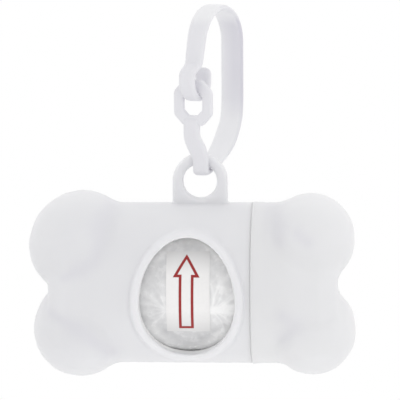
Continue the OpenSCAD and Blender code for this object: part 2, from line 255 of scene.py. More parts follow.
def solid(name, points, faces):
    """Smooth-shaded object from millimetre points and index faces, linked to the scene."""
    mesh = bpy.data.meshes.new(name)
    mesh.from_pydata(to_frame(points).tolist(), [], faces if isinstance(faces, list) else faces.tolist())
    mesh.shade_smooth()
    made = bpy.data.objects.new(name, mesh)
    scene.collection.objects.link(made)
    return made


def node(tree, kind, own=None, **sockets):
    """Adds a shader node with its own settings, and sets or links sockets: _2 is the one of number 2, and
    another underscore stands for a space."""
    made = tree.nodes.new(kind)
    for key, value in (own or {}).items():
        setattr(made, key, value)
    for key, value in sockets.items():
        socket = made.inputs[int(key[1:])] if key[0] == "_" else made.inputs[key.replace("_", " ")]
        if isinstance(value, bpy.types.NodeSocket):
            tree.links.new(value, socket)
        else:
            socket.default_value = value
    return made


def new_group(name, inputs, outputs):
    """Empty shader node group with the named inputs, as (name, type, value), and outputs, as (name, type)."""
    group = bpy.data.node_groups.new(name, "ShaderNodeTree")
    for title, kind, value in inputs:
        group.interface.new_socket(name=title, in_out="INPUT", socket_type=kind).default_value = value
    for title, kind in outputs:
        group.interface.new_socket(name=title, in_out="OUTPUT", socket_type=kind)
    return group, group.nodes.new("NodeGroupInput"), group.nodes.new("NodeGroupOutput")


def moulded_skin_group():
    """Moulded plastic: a faint cloudiness in the colour, greyed by painted shade where the crease mark lies
    and whitened by painted light where the bore mark lies, with patchy gloss, slow sinks and a fine satin
    grain."""
    group, take, give = new_group(
        "moulded_skin",
        [("Colour", "NodeSocketColor", (0.78, 0.78, 0.79, 1)),
         ("Shade", "NodeSocketColor", (0.73, 0.73, 0.75, 1)),
         # Crease Colour is the bluish grey of painted shade, Bore Colour the white of painted light.
         ("Crease Colour", "NodeSocketColor", (0.66, 0.65, 0.71, 1)),
         ("Bore Colour", "NodeSocketColor", (0.96, 0.96, 0.96, 1)),
         ("Crease", "NodeSocketFloat", 0.0),
         ("Bore", "NodeSocketFloat", 0.0),
         ("Gloss Low", "NodeSocketFloat", 0.3),
         ("Gloss High", "NodeSocketFloat", 0.42),
         ("Cloud Scale", "NodeSocketFloat", 90.0),
         ("Grain", "NodeSocketFloat", 0.12)],
        [("Colour", "NodeSocketColor"), ("Roughness", "NodeSocketFloat"), ("Normal", "NodeSocketVector")])
    place = node(group, "ShaderNodeTexCoord").outputs["Object"]
    cloud = node(group, "ShaderNodeTexNoise", Vector=place, Scale=take.outputs["Cloud Scale"], Detail=2.0)
    colour = node(group, "ShaderNodeMix", {"data_type": "RGBA"}, Factor=cloud.outputs["Fac"],
                  _6=take.outputs["Colour"], _7=take.outputs["Shade"])
    # Painted shade: the crease mark greys the colour.
    painted_shade_mix = node(group, "ShaderNodeMix", {"data_type": "RGBA"}, Factor=take.outputs["Crease"],
                 _6=colour.outputs[2], _7=take.outputs["Crease Colour"])
    # Painted light: the bore mark whitens the colour.
    painted_light_mix = node(group, "ShaderNodeMix", {"data_type": "RGBA"}, Factor=take.outputs["Bore"],
                 _6=painted_shade_mix.outputs[2], _7=take.outputs["Bore Colour"])
    patch = node(group, "ShaderNodeTexNoise", Vector=place, Scale=240.0, Detail=3.0)
    gloss = node(group, "ShaderNodeMapRange", Value=patch.outputs["Fac"], _1=0.3, _2=0.7,
                 _3=take.outputs["Gloss Low"], _4=take.outputs["Gloss High"])
    sink = node(group, "ShaderNodeTexNoise", Vector=place, Scale=150.0, Detail=1.0)
    soft = node(group, "ShaderNodeBump", Strength=0.25, Distance=0.0006, Height=sink.outputs["Fac"])
    grain = node(group, "ShaderNodeTexNoise", Vector=place, Scale=2600.0, Detail=2.0)
    fine = node(group, "ShaderNodeBump", Strength=take.outputs["Grain"], Distance=0.00004,
                Height=grain.outputs["Fac"], Normal=soft.outputs["Normal"])
    group.links.new(painted_light_mix.outputs[2], give.inputs["Colour"])
    group.links.new(gloss.outputs["Result"], give.inputs["Roughness"])
    group.links.new(fine.outputs["Normal"], give.inputs["Normal"])
    return group


moulded_skin = moulded_skin_group()
PLASTIC_IOR, MILKY_DEPTH = 1.48, 0.002


def shader(name):
    """New node material: its tree and its Principled shader."""
    material = bpy.data.materials.new(name)
    material.use_nodes = True
    return material, material.node_tree, material.node_tree.nodes["Principled BSDF"]


def white_plastic(name, colour, shade, gloss, milky):
    """Satin white moulding: the moulded skin, with the mesh's own marks of painted shade and painted light,
    on a dielectric that lets the milky share of the light in, about MILKY_DEPTH metres deep."""
    material, tree, bsdf = shader(name)
    skin = node(tree, "ShaderNodeGroup", {"node_tree": moulded_skin}, Colour=(*colour, 1), Shade=(*shade, 1),
                Gloss_Low=gloss[0], Gloss_High=gloss[1])
    for mark in ("crease", "bore"):
        share = node(tree, "ShaderNodeAttribute", {"attribute_name": mark})
        tree.links.new(share.outputs["Fac"], skin.inputs[mark.title()])
    tree.links.new(skin.outputs["Colour"], bsdf.inputs["Base Color"])
    tree.links.new(skin.outputs["Roughness"], bsdf.inputs["Roughness"])
    tree.links.new(skin.outputs["Normal"], bsdf.inputs["Normal"])
    bsdf.inputs["IOR"].default_value = PLASTIC_IOR
    bsdf.inputs["Subsurface Weight"].default_value = milky
    bsdf.inputs["Subsurface Radius"].default_value = (1, 1, 1)
    bsdf.inputs["Subsurface Scale"].default_value = MILKY_DEPTH
    return material


# Painted shade: each list is a line of points x, z and width along a lobe's root or flank, where the colour
# is greyed as if shade fell there.
PAINTED_SHADE_LINES = [((-20.2, 20, 2.6), (-21.2, 16, 3), (-21.2, 12.5, 2.2), (-22.6, 8, 1.7), (-25.5, 5.8, 2.2),
          (-30, 3.8, 1)),
         ((-34.6, -4.5, 1.6), (-31.3, -6.3, 1.4), (-27.6, -8.6, 2.4), (-25.2, -10, 2.2), (-21.7, -13.1, 1.5),
          (-19.1, -15.4, 2)),
         ((20.3, 19.6, 3), (21.8, 15.5, 3.2), (21.8, 12.6, 2)),
         ((26.5, 14.6, 1.8), (29, 12.6, 1.5)),
         ((22.9, -5.4, 2), (25.4, -8, 2.9), (22.8, -11.4, 1.8))]
PAINTED_SHADE_STRENGTH = 0.26


def mark_skin(obj, points):
    """Marks for the material. crease: painted shade, a bell of the distance to lines along the lobes' roots
    and flanks where shade falls, seen along y, each a line of points x, z and width. bore: painted light, 1
    on the walls inside and on the window's cut, short of its outer edge, a whiter colour for the light that
    comes through the thin plastic."""
    x, rho = points[:, 0], np.hypot(points[:, 1], points[:, 2])
    crease = np.zeros(len(points))
    # Each sink here is one line of painted shade, walked from point to point.
    for sink in PAINTED_SHADE_LINES:
        for start, stop in zip(np.array(sink[:-1]), np.array(sink[1:])):
            side = (stop - start)[:2]
            share = ((points[:, [0, 2]] - start[:2]) @ side / (side ** 2).sum()).clip(0, 1)
            away = np.linalg.norm(points[:, [0, 2]] - start[:2] - share[:, None] * side, axis=1)
            crease = np.maximum(crease, np.exp(-(away / (start[2] + share * (stop[2] - start[2]))) ** 2))
    crease *= PAINTED_SHADE_STRENGTH
    bore = (rho < BARREL_R - WALL + 0.2) & (x > LEFT_X + 1.4) & (x < RIGHT_X - 1.7)
    rim = np.clip((BARREL_R - 0.6 - rho) / 0.6, 0, 1) * (egg_distance(points, 0) < 1) * (points[:, 1] < 0)
    for mark, share in (("crease", crease), ("bore", np.maximum(bore, rim))):
        obj.data.attributes.new(mark, "FLOAT", "POINT").data.foreach_set("value", share)


body_points, body_faces = skin_of(
    body_distance,
    grid_lines(-42, 24, 0.6, [(-15, 14.4, 0.4), (14.7, 15.5, 0.12)]),
    grid_lines(-22.2, 21.4, 0.55, [(-22, -17, 0.36), (-2.4, 2.4, 0.36)]),
    grid_lines(-24, 33.6, 0.5, [(19, 33.4, 0.36)]))
body = solid("barrel_body", body_points, body_faces)
mark_skin(body, body_points)
body.data.materials.append(white_plastic(
    "barrel_plastic", (0.795, 0.795, 0.81), (0.775, 0.775, 0.795), (0.34, 0.44), 0.8))
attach(body, "barrel")
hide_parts("body_shell")


# End cap: a second moulding that carries the other two lobes and pushes onto the spigot.
# Its rim stands a quarter of a millimetre proud of the barrel, which shows as the thin seam line.
RIGHT_LOBES = ((29.46, 11.16, 10.9), (30.1, -11.65, 10.55))
RIM_FLARE, RIM_L = 0.25, 3.0
SKIRT_R, SKIRT_L, SKIRT_EDGE = 18.6, 8.6, 0.2


def cap_distance(p):
    """Bone right of the seam with its flared rim, less the skirt's socket, the bore and the lobes'
    hollows."""
    x = p[..., 0]
    rho = np.hypot(p[..., 1], p[..., 2])
    flare = RIM_FLARE * np.clip(1 - (x - SEAM_X) / RIM_L, 0, 1)
    skin = trim(bone_distance(p, RIGHT_LOBES) - flare, SEAM_X - x, SEAM_EDGE)
    socket = np.maximum(rho - SKIRT_R, x - (SEAM_X + SKIRT_L))
    skin = trim(skin, -socket, SKIRT_EDGE)
    return trim(skin, -hollow_distance(p, RIGHT_LOBES, 1), SKIRT_EDGE)


cap_points, cap_faces = skin_of(
    cap_distance,
    grid_lines(14.6, 41.8, 0.5, [(14.8, 15.6, 0.12), (23.2, 24.2, 0.25)]),
    grid_lines(-21.4, 21.4, 0.46),
    grid_lines(-23, 23, 0.46))
cap = solid("end_cap_moulding", cap_points, cap_faces)
mark_skin(cap, cap_points)
cap.data.materials.append(white_plastic(
    "cap_plastic", (0.815, 0.815, 0.825), (0.795, 0.795, 0.81), (0.34, 0.44), 0.8))
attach(cap, "cap")
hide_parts("end_cap")


# Strap clip: one flexible white moulding. A band with bevelled edges runs up the long leg, over the
# top bend and down the short arm into a hook; the hook holds the eye ring, whose neck passes through
# the lug's hole as the saddle and joins the long leg again.
STRAP_YAW, SADDLE_YAW = 24.25, 9.0
STRAP_T, LOOP_R, LOOP_BACK = 1.6, 9.0, 8.4
LOOP_SHIFT, TOP_LEAN, NECK_SET = -0.2, 0.2, 0.35
LEG_W, ARM_W, HOOK_W, NECK_W, SADDLE_W = 6.1, 5.0, 4.3, 4.5, 3.9
LEG_L, BEND_H, ARM_LEAN = 14.0, 16.6, 8.0
HOOK_R, TIP_L, NECK_L = 4.3, 3.0, 11.6
EYE_H, EYE_W, EYE_BAR, EYE_TOP, EYE_T, EYE_CUT = 11.4, 10.55, 2.65, 2.9, 1.5, 0.26
SADDLE_GAP, NECK_GAP, HOOK_GAP, SADDLE_SHIFT = 0.2, 0.4, 0.4, 0.8
SHOULDER, FLAT = 0.4, 0.66
BAND_STEP, BAND_BLUR, TIP_ROUND, CORNER_CUT = 0.3, 0.35, 1.7, 0.18
turn = np.radians(STRAP_YAW)
saddle_slope = np.tan(np.radians(SADDLE_YAW))
saddle_reach = SADDLE_W / 2 + SADDLE_SHIFT + LUG_HALF_T * saddle_slope
saddle_z = (HOLE_Z + np.sqrt((LUG_HOLE_R - SADDLE_GAP) ** 2 - saddle_reach ** 2)
            + STRAP_T * (1 - SHOULDER) / 2 - STRAP_T / 2)
saddle_y = LUG_HALF_T + NECK_GAP + STRAP_T / 2
band_r = LOOP_R + STRAP_T / 2
loop_z = saddle_z + BEND_H + LEG_L
leg_u = LOOP_BACK + band_r
eye_u = -saddle_y
eye_bottom = saddle_z + NECK_L
eye_mid = eye_bottom + EYE_H / 2
hook_u = eye_u + 1
hook_z = (eye_bottom + EYE_H - EYE_TOP - HOOK_GAP
          + np.sqrt((HOOK_R - STRAP_T / 2) ** 2 - (hook_u - eye_u + EYE_T / 2) ** 2))


def in_plane(u, z, width):
    """Rows x, y, z, half width, turn of the strap's upright plane, u back from the lug."""
    u, z, width = np.broadcast_arrays(u, z, width)
    return np.stack([LUG_X + LOOP_SHIFT + u * np.sin(turn), u * np.cos(turn), z, width / 2,
                     np.full(u.shape, STRAP_YAW)], -1)


def saddle_row(y, rise, extra_turn=0.0, extra=0.0):
    """One row of the saddle, which crosses the lug's hole at its own turn."""
    return np.array([[LUG_X + SADDLE_SHIFT + y * saddle_slope, y, saddle_z + rise,
                      SADDLE_W / 2 + extra, SADDLE_YAW + extra_turn]])


def curve(rows, steps):
    """Catmull-Rom curve through rows, steps points to a span: half of 2b + (c - a) t + ..."""
    p = np.concatenate([rows[:1], rows, rows[-1:]])
    a, b, c, d = (p[i:len(p) - 3 + i, None] for i in range(4))
    t = (np.arange(steps) / steps)[None, :, None]
    path = 0.5 * (2 * b + (c - a) * t + (2 * a - 5 * b + 4 * c - d) * t ** 2
                  + (3 * b - a - 3 * c + d) * t ** 3)
    return np.concatenate([path.reshape(-1, rows.shape[1]), rows[-1:]])


def strap_rows():
    """Rows along the strap: the hook's straight tip, its half circle, a curve up the short arm, the arc of
    the top bend, the straight leg, a curve into the saddle, its corner, and a curve up to the eye ring."""
    sweep = np.radians(np.linspace(0, 180, 37))
    hook = in_plane(hook_u + HOOK_R * np.cos(sweep), hook_z - HOOK_R * np.sin(sweep), HOOK_W)
    tip = in_plane(hook_u + HOOK_R, hook_z + np.linspace(TIP_L, 0.3, 9), HOOK_W)
    lean = np.radians(ARM_LEAN)
    arm_end_u = LOOP_BACK - band_r * np.cos(lean)
    arm_end_z = loop_z + band_r * np.sin(lean)
    arm_u = hook_u - HOOK_R
    share = np.array([0, 0.05, 0.36, 0.7, 0.86])
    height = np.array([0.11, 0.21, 0.32, 0.43, 0.71])
    arm = in_plane(arm_u + (arm_end_u - arm_u) * share, hook_z + (arm_end_z - hook_z) * height,
                   HOOK_W + (ARM_W - HOOK_W) * share)
    bend = np.radians((180 - ARM_LEAN) * (1 - np.linspace(0, 1, 61)))
    top = in_plane(LOOP_BACK + band_r * np.cos(bend), loop_z + band_r * np.sin(bend),
                   ARM_W + (LEG_W - ARM_W) * np.minimum(np.linspace(0, 1.5, 61), 1))
    top[:, 0] += TOP_LEAN * np.sin(bend)
    leg = in_plane(leg_u, loop_z - np.linspace(0.5, LEG_L - 0.5, 12), LEG_W)
    way = np.array([0, 0.065, 0.35, 0.75])
    down = np.array([0, 0.3, 0.63, 0.86])
    low = in_plane(leg_u - (leg_u - saddle_y - 1.5) * way, loop_z - LEG_L - BEND_H * down,
                   LEG_W + (SADDLE_W - LEG_W) * way ** 3)
    low[:, 4] += (SADDLE_YAW - STRAP_YAW) * np.array([0, 0.1, 0.7, 0.95])
    low = curve(np.concatenate([low, saddle_row(saddle_y + 1.1, 1, 0, 0.15)]), 12)
    corner = STRAP_T * 0.56
    saddle = np.concatenate([
        saddle_row(saddle_y - 0.2, 0.1), saddle_row(0.5, 0), saddle_row(-0.5, 0),
        saddle_row(corner - saddle_y, 0), saddle_row(corner * 0.3 - saddle_y, corner * 0.3),
        saddle_row(-saddle_y, corner)])
    halfway = np.array([[LUG_X - 0.35, -saddle_y, saddle_z + NECK_L * 0.48, NECK_W / 2,
                         (STRAP_YAW + SADDLE_YAW) / 2]])
    straight = in_plane([eye_u, eye_u], [saddle_z + NECK_L * 0.76, eye_bottom + EYE_BAR * 0.6], NECK_W)
    straight[:, 0] -= NECK_SET
    neck = curve(np.concatenate([saddle_row(-saddle_y, NECK_L * 0.26, 1), halfway, straight]), 10)
    return np.concatenate([tip, hook, curve(arm, 14), top, leg, low, saddle, neck])


def evened(rows, gap, blur):
    """Rows at an even gap along their path, each the mean of its neighbours under a bell blur mm wide."""
    run = np.concatenate([[0], np.cumsum(np.linalg.norm(np.diff(rows[:, :3], axis=0), axis=1))])
    at = np.linspace(0, run[-1], int(run[-1] / gap))
    even = np.stack([np.interp(at, run, rows[:, i]) for i in range(rows.shape[1])], -1)
    bell = np.exp(-0.5 * ((at[:, None] - at) / blur) ** 2)
    near_end = np.minimum(at, run[-1] - at)[:, None]
    smooth = bell @ even / bell.sum(1, keepdims=True)
    return np.where(near_end < 2 * blur, even, smooth)


def rounded_section(corners, rounds=2):
    """Closed outline with its corners cut again and again: points CORNER_CUT in from both ends of a side."""
    near, far = 1 - CORNER_CUT, CORNER_CUT
    for _ in range(rounds):
        after = np.roll(corners, -1, 0)
        corners = np.stack([near * corners + far * after, far * corners + near * after], 1).reshape(-1, 2)
    return corners


def band(rows, thickness, round_start):
    """Carries the bevelled section along the rows: the width lies level at each row's turn, the thickness
    square to it and to the path. Its start is drawn in over round_start, and both ends are closed."""
    path = rows[:, :3]
    along = np.gradient(path, axis=0)
    along /= np.linalg.norm(along, axis=1, keepdims=True)
    yaw = np.radians(rows[:, 4])
    flat = np.stack([np.cos(yaw), -np.sin(yaw), np.zeros(len(yaw))], -1)
    across = flat - along * (flat * along).sum(1, keepdims=True)
    across /= np.linalg.norm(across, axis=1, keepdims=True)
    out = np.cross(across, along)
    section = rounded_section(np.array([[1, SHOULDER], [FLAT, 1], [-FLAT, 1], [-1, SHOULDER],
                                        [-1, -SHOULDER], [-FLAT, -1], [FLAT, -1], [1, -SHOULDER]]))
    run = np.arange(len(rows)) * np.linalg.norm(path[1] - path[0])
    pull = np.clip(1 - run / round_start, 0, 1) if round_start else np.zeros(len(rows))
    wide = rows[:, 3] - round_start * (1 - np.sqrt(1 - np.minimum(pull, 0.995) ** 2))
    thick = thickness / 2 * (1 - 0.35 * pull ** 4)
    points = (path[:, None] + across[:, None] * section[None, :, :1] * wide[:, None, None]
              + out[:, None] * section[None, :, 1:] * thick[:, None, None])
    return tube_faces(points)


def tube_faces(points, closed=False):
    """Quads round a grid of rings, with a face over the first and the last ring unless it closes on
    itself."""
    number = np.arange(points.shape[0] * points.shape[1]).reshape(points.shape[:2])
    here, ahead = (number, np.roll(number, -1, 0)) if closed else (number[:-1], number[1:])
    faces = np.stack([here, np.roll(here, -1, 1), np.roll(ahead, -1, 1), ahead], -1).reshape(-1, 4).tolist()
    if not closed:
        faces += [number[0][::-1].tolist(), number[-1].tolist()]
    return points.reshape(-1, 3), faces


def eye_outline(angle, half_w, half_h, cut, power=26):
    """Point at an angle on a rectangle with cut corners: 1 / r is the power mean of cos / distance of its
    sides."""
    sides = np.array([[0, half_w], [90, half_h], [180, half_w], [270, half_h]])
    slants = [[45 + 90 * i, (half_w + half_h - cut) / np.sqrt(2)] for i in range(4)]
    normals = np.concatenate([sides, slants])
    facing = np.maximum(np.cos(angle[:, None] - np.radians(normals[:, 0])), 0) / normals[:, 1]
    r = (facing ** power).sum(1) ** (-1 / power)
    return np.stack([r * np.cos(angle), r * np.sin(angle)], -1)


def eye_ring():
    """Ring between a cut-cornered outline and its hole: a rounded bar section carried round both outlines."""
    angle = np.linspace(0, 2 * np.pi, 145)[:-1]
    cut = EYE_W * EYE_CUT
    outer = eye_outline(angle, EYE_W / 2, EYE_H / 2, cut)
    inner = eye_outline(angle, EYE_W / 2 - EYE_BAR, (EYE_H - EYE_BAR - EYE_TOP) / 2, cut / 2)
    inner[:, 1] += (EYE_BAR - EYE_TOP) / 2
    square = rounded_section(np.array([
        [1, 0.55], [0.8, 1], [-0.8, 1], [-1, 0.55], [-1, -0.55], [-0.8, -1], [0.8, -1], [1, -0.55]]))
    share = (1 + square[None, :, :1]) / 2
    flat = inner[:, None] * (1 - share) + outer[:, None] * share
    v, z = flat[..., 0], flat[..., 1] + eye_mid
    u = eye_u + square[None, :, 1] * EYE_T / 2 + np.zeros(v.shape)
    points = np.stack([LUG_X + LOOP_SHIFT + u * np.sin(turn) + v * np.cos(turn),
                       u * np.cos(turn) - v * np.sin(turn), z], -1)
    return tube_faces(points, closed=True)


def facing_out(obj):
    """Turns a closed mesh's faces outwards."""
    bm = bmesh.new()
    bm.from_mesh(obj.data)
    bmesh.ops.recalc_face_normals(bm, faces=bm.faces)
    bm.to_mesh(obj.data)
    bm.free()


# Painted shade on the strap's leg and edges, and painted light at its top bend, inner edge and foot: shares,
# and heights in mm.
STRAP_SHADE, LEG_SHADE, EDGE_SHADE, INNER_LIGHT = 0.32, 0.32, 0.9, 0.5
SHADE_FOOT, SHADE_RISE, SHADE_TOP = 40, 11, 66
PALE_BELOW, PALE_ABOVE = 45, 64


def mark_strap(obj):
    """Crease mark of the strap, painted shade: STRAP_SHADE, but none at the top bend and low on the leg,
    painted light there. Up the long leg it gains LEG_SHADE, rises from the inner edge to the outer one, and
    is fullest along the outer edge."""
    place = np.zeros(len(obj.data.vertices) * 3)
    obj.data.vertices.foreach_get("co", place)
    x, y, z = ((place.reshape(-1, 3) - BARREL_MIDDLE) * 1000).T
    x = x - LUG_X - LOOP_SHIFT
    aside = x * np.cos(turn) - y * np.sin(turn)
    leg = np.clip((x * np.sin(turn) + y * np.cos(turn) - 4) / 3, 0, 1)
    upper = np.clip((z - SHADE_FOOT) / SHADE_RISE, 0, 1) * np.clip((SHADE_TOP - z) / 3, 0, 1)
    pale = np.maximum(np.clip((PALE_BELOW - z) / 7, 0, 1) * leg, np.clip((z - PALE_ABOVE) / 2, 0, 1))
    across = EDGE_SHADE * np.clip((aside - 2.5) / 0.3, 0, 1)
    across -= INNER_LIGHT * np.clip((0.8 - aside) / 3.8, 0, 1)
    share = STRAP_SHADE * (1 - pale) + leg * (LEG_SHADE * upper + across * (0.4 + 0.6 * upper))
    obj.data.attributes.new("crease", "FLOAT", "POINT").data.foreach_set("value", share.clip(0, 1))


strap = solid("strap_band", *band(evened(strap_rows(), BAND_STEP, BAND_BLUR), STRAP_T, TIP_ROUND))
ring = solid("strap_eye", *eye_ring())
facing_out(strap)
facing_out(ring)
fuse = strap.modifiers.new("fuse_eye", "BOOLEAN")
fuse.operation = "UNION"
fuse.solver = "EXACT"
fuse.object = ring
bpy.context.view_layer.update()
fused = bpy.data.meshes.new_from_object(strap.evaluated_get(bpy.context.evaluated_depsgraph_get()))
strap.modifiers.clear()
strap.data = fused
strap.data.shade_smooth()
strap.data.set_sharp_from_angle(angle=np.radians(38))
bpy.data.objects.remove(ring)
strap.data.materials.clear()
strap.data.materials.append(white_plastic(
    "strap_plastic", (0.85, 0.85, 0.865), (0.825, 0.825, 0.845), (0.38, 0.5), 0.2))
mark_strap(strap)
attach(strap, "strap")
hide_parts("strap_clip")


# Card core: a tube of grey-brown card, wound, glued, and cut a little longer than the roll is wide. The roll
# lies on the bottom of the bore.
CORE_R, CORE_WALL, CORE_OUT, CORE_BEVEL = 7.0, 1.0, 0.5, 0.12
ROLL_L, ROLL_X, ROLL_Z = 62.0, 0.85, -0.65


def turned(profile, steps):
    """Solid of revolution about the roll's axis: profile points are x and radius, the angle runs from -y
    up."""
    angle = np.linspace(0, 2 * np.pi, steps + 1)[:-1, None]
    x, r = profile[None, :, 0], profile[None, :, 1]
    points = np.stack([x + 0 * angle, -r * np.cos(angle), ROLL_Z + r * np.sin(angle)], -1)
    return tube_faces(points, closed=True)


half = ROLL_L / 2 + CORE_OUT
inside = CORE_R - CORE_WALL
half_profile = np.array([[half - 0.1, CORE_R], [half, CORE_R - CORE_BEVEL], [half, inside + CORE_BEVEL],
                         [half - 0.1, inside]])
mirrored = half_profile[::-1] * [-1, 1]
core_profile = np.concatenate([[[0, CORE_R]], half_profile, [[0, inside]], mirrored]) + [ROLL_X, 0]
core = solid("card_core", *turned(core_profile, 96))
facing_out(core)
core.data.set_sharp_from_angle(angle=np.radians(40))
card, tree, bsdf = shader("wound_card")
place = node(tree, "ShaderNodeTexCoord").outputs["Object"]
drawn = node(tree, "ShaderNodeMapping", Vector=place, Scale=(0.35, 1, 1)).outputs["Vector"]
fibre = node(tree, "ShaderNodeTexNoise", Vector=drawn, Scale=2200.0, Detail=4.0).outputs["Fac"]
speck = node(tree, "ShaderNodeMix", {"data_type": "RGBA"}, Factor=fibre,
             _6=(0.36, 0.27, 0.18, 1), _7=(0.55, 0.44, 0.31, 1))
rough = node(tree, "ShaderNodeMapRange", Value=fibre, _3=0.75, _4=0.95)
fuzz = node(tree, "ShaderNodeBump", Strength=0.5, Distance=0.0001, Height=fibre)
tree.links.new(speck.outputs[2], bsdf.inputs["Base Color"])
tree.links.new(rough.outputs["Result"], bsdf.inputs["Roughness"])
tree.links.new(fuzz.outputs["Normal"], bsdf.inputs["Normal"])
core.data.materials.append(card)
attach(core, "roll")
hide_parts("roll_core")


# Roll of bags: a flattened tube of thin film wound on the core, its cut edges seen as fine rings
# at both ends. The outermost bag has a piece of its own.
ROLL_R, BAG_R = 15.6, 16.0


def film_group():
    """Thin film: grey where it lies flat, whiter along a streak and where the Crease input, partly painted
    light, is high, with patches of gloss.
    """
    group, take, give = new_group(
        "thin_film",
        [("Light", "NodeSocketColor", (0.7, 0.7, 0.7, 1)), ("Dark", "NodeSocketColor", (0.5, 0.5, 0.5, 1)),
         ("Streak Scale", "NodeSocketFloat", 420.0), ("Crease", "NodeSocketFloat", 0.0)],
        [("Colour", "NodeSocketColor"), ("Roughness", "NodeSocketFloat"), ("Normal", "NodeSocketVector")])
    place = node(group, "ShaderNodeTexCoord").outputs["Object"]
    streak = node(group, "ShaderNodeTexNoise", Vector=place, Scale=take.outputs["Streak Scale"], Detail=4.0)
    soft = node(group, "ShaderNodeMapRange", Value=streak.outputs["Fac"], _1=0.3, _2=0.7, _3=0.0, _4=0.35)
    white = node(group, "ShaderNodeMath", {"operation": "ADD", "use_clamp": True},
                 _0=soft.outputs["Result"], _1=take.outputs["Crease"])
    colour = node(group, "ShaderNodeMix", {"data_type": "RGBA"}, Factor=white.outputs[0],
                  _6=take.outputs["Dark"], _7=take.outputs["Light"])
    gloss = node(group, "ShaderNodeMapRange", Value=streak.outputs["Fac"], _3=0.16, _4=0.36)
    bump = node(group, "ShaderNodeBump", Strength=0.2, Distance=0.0002, Height=streak.outputs["Fac"])
    group.links.new(colour.outputs[2], give.inputs["Colour"])
    group.links.new(gloss.outputs["Result"], give.inputs["Roughness"])
    group.links.new(bump.outputs["Normal"], give.inputs["Normal"])
    return group


thin_film = film_group()


def film(name, light, dark, scale, creases_and_painted_light=False):
    """Bag film: the thin film group under a clear gloss, whitened by the mesh's crease mark if it has one:
    stress whitening along creases with painted highlight, and painted light near the window's rim."""
    material, tree, bsdf = shader(name)
    look = node(tree, "ShaderNodeGroup", {"node_tree": thin_film}, Light=(*light, 1), Dark=(*dark, 1),
                Streak_Scale=scale)
    if creases_and_painted_light:
        crease = node(tree, "ShaderNodeAttribute", {"attribute_name": "crease"})
        tree.links.new(crease.outputs["Fac"], look.inputs["Crease"])
    tree.links.new(look.outputs["Colour"], bsdf.inputs["Base Color"])
    tree.links.new(look.outputs["Roughness"], bsdf.inputs["Roughness"])
    tree.links.new(look.outputs["Normal"], bsdf.inputs["Normal"])
    bsdf.inputs["IOR"].default_value = 1.5
    return material


TURNS, EDGE_RIPPLE = 26, 0.14
radii = np.linspace(CORE_R + 0.05, ROLL_R - 0.03, TURNS * 4 + 1)
ripple = EDGE_RIPPLE * np.abs(np.sin(np.pi * np.arange(TURNS * 4 + 1) / 4))
right_face = np.stack([ROLL_X + ROLL_L / 2 - ripple, radii], -1)[::-1]
left_face = np.stack([ROLL_X - ROLL_L / 2 + ripple, radii], -1)
wound = solid("wound_bags", *turned(np.concatenate([left_face, right_face]), 144))
facing_out(wound)
wound.data.materials.append(film("wound_film", (0.66, 0.66, 0.66), (0.5, 0.5, 0.5), 300.0))
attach(wound, "roll")
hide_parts("bag_roll")


# Outermost bag: one more turn of film, pulled tight under the label, so that fine creases fan out
# from two points beside the label's lower half. The creases are pressed into the turn.
FAN_LEFT, FAN_RIGHT, LEFT_SHARE = (-5.4, -4.0), (5.5, -3.8), 0.42
CREASE_FOOT, CREASE_FADE = -0.78, 0.2
SLACK, VALLEY, FLUTE = 0.05, 0.24, 0.02
BESIDE_MIDDLE, BESIDE_FROM, BESIDE_FADE = -0.33, 5, 2.5
SAG_START, SAG = -0.6, 0.5
# Film whiteness: PLAIN_WHITE, the right side painted lighter by SIDE_PAINTED_LIGHT, painted light
# RIM_PAINTED_LIGHT near the window's rim, and the smooth band greyed by SMOOTH_GREY.
PLAIN_WHITE, SIDE_PAINTED_LIGHT, SMOOTH_GREY, RIM_PAINTED_LIGHT = 0.245, 0.125, 0.4, 0.72


def fan(x, s, middle, spokes, seed, heading_from, heading_to):
    """Creases that fan out of a middle point between two headings: ridges of the direction angle, uneven in
    place, width, bend and height, that start near the middle and fade over 4 to 10 mm."""
    draw = np.random.default_rng(seed)
    away = np.hypot(x - middle[0], s - middle[1])
    heading = np.arctan2(s - middle[1], x - middle[0])
    height = np.zeros(x.shape)
    for start, width, depth, bend, reach in zip(
            np.radians(draw.uniform(heading_from, heading_to, spokes)), draw.uniform(0.035, 0.12, spokes),
            draw.uniform(0.25, 0.9, spokes), draw.normal(0, 0.035, spokes), draw.uniform(4, 10, spokes)):
        off = np.angle(np.exp(1j * (heading - start - bend * away)))
        height += depth * np.exp(-(np.abs(off) / width) ** 1.4 - (away / reach) ** 2)
    return height * np.clip(away / 0.9, 0, 1) + 0.7 * np.exp(-(away / 1.2) ** 2)


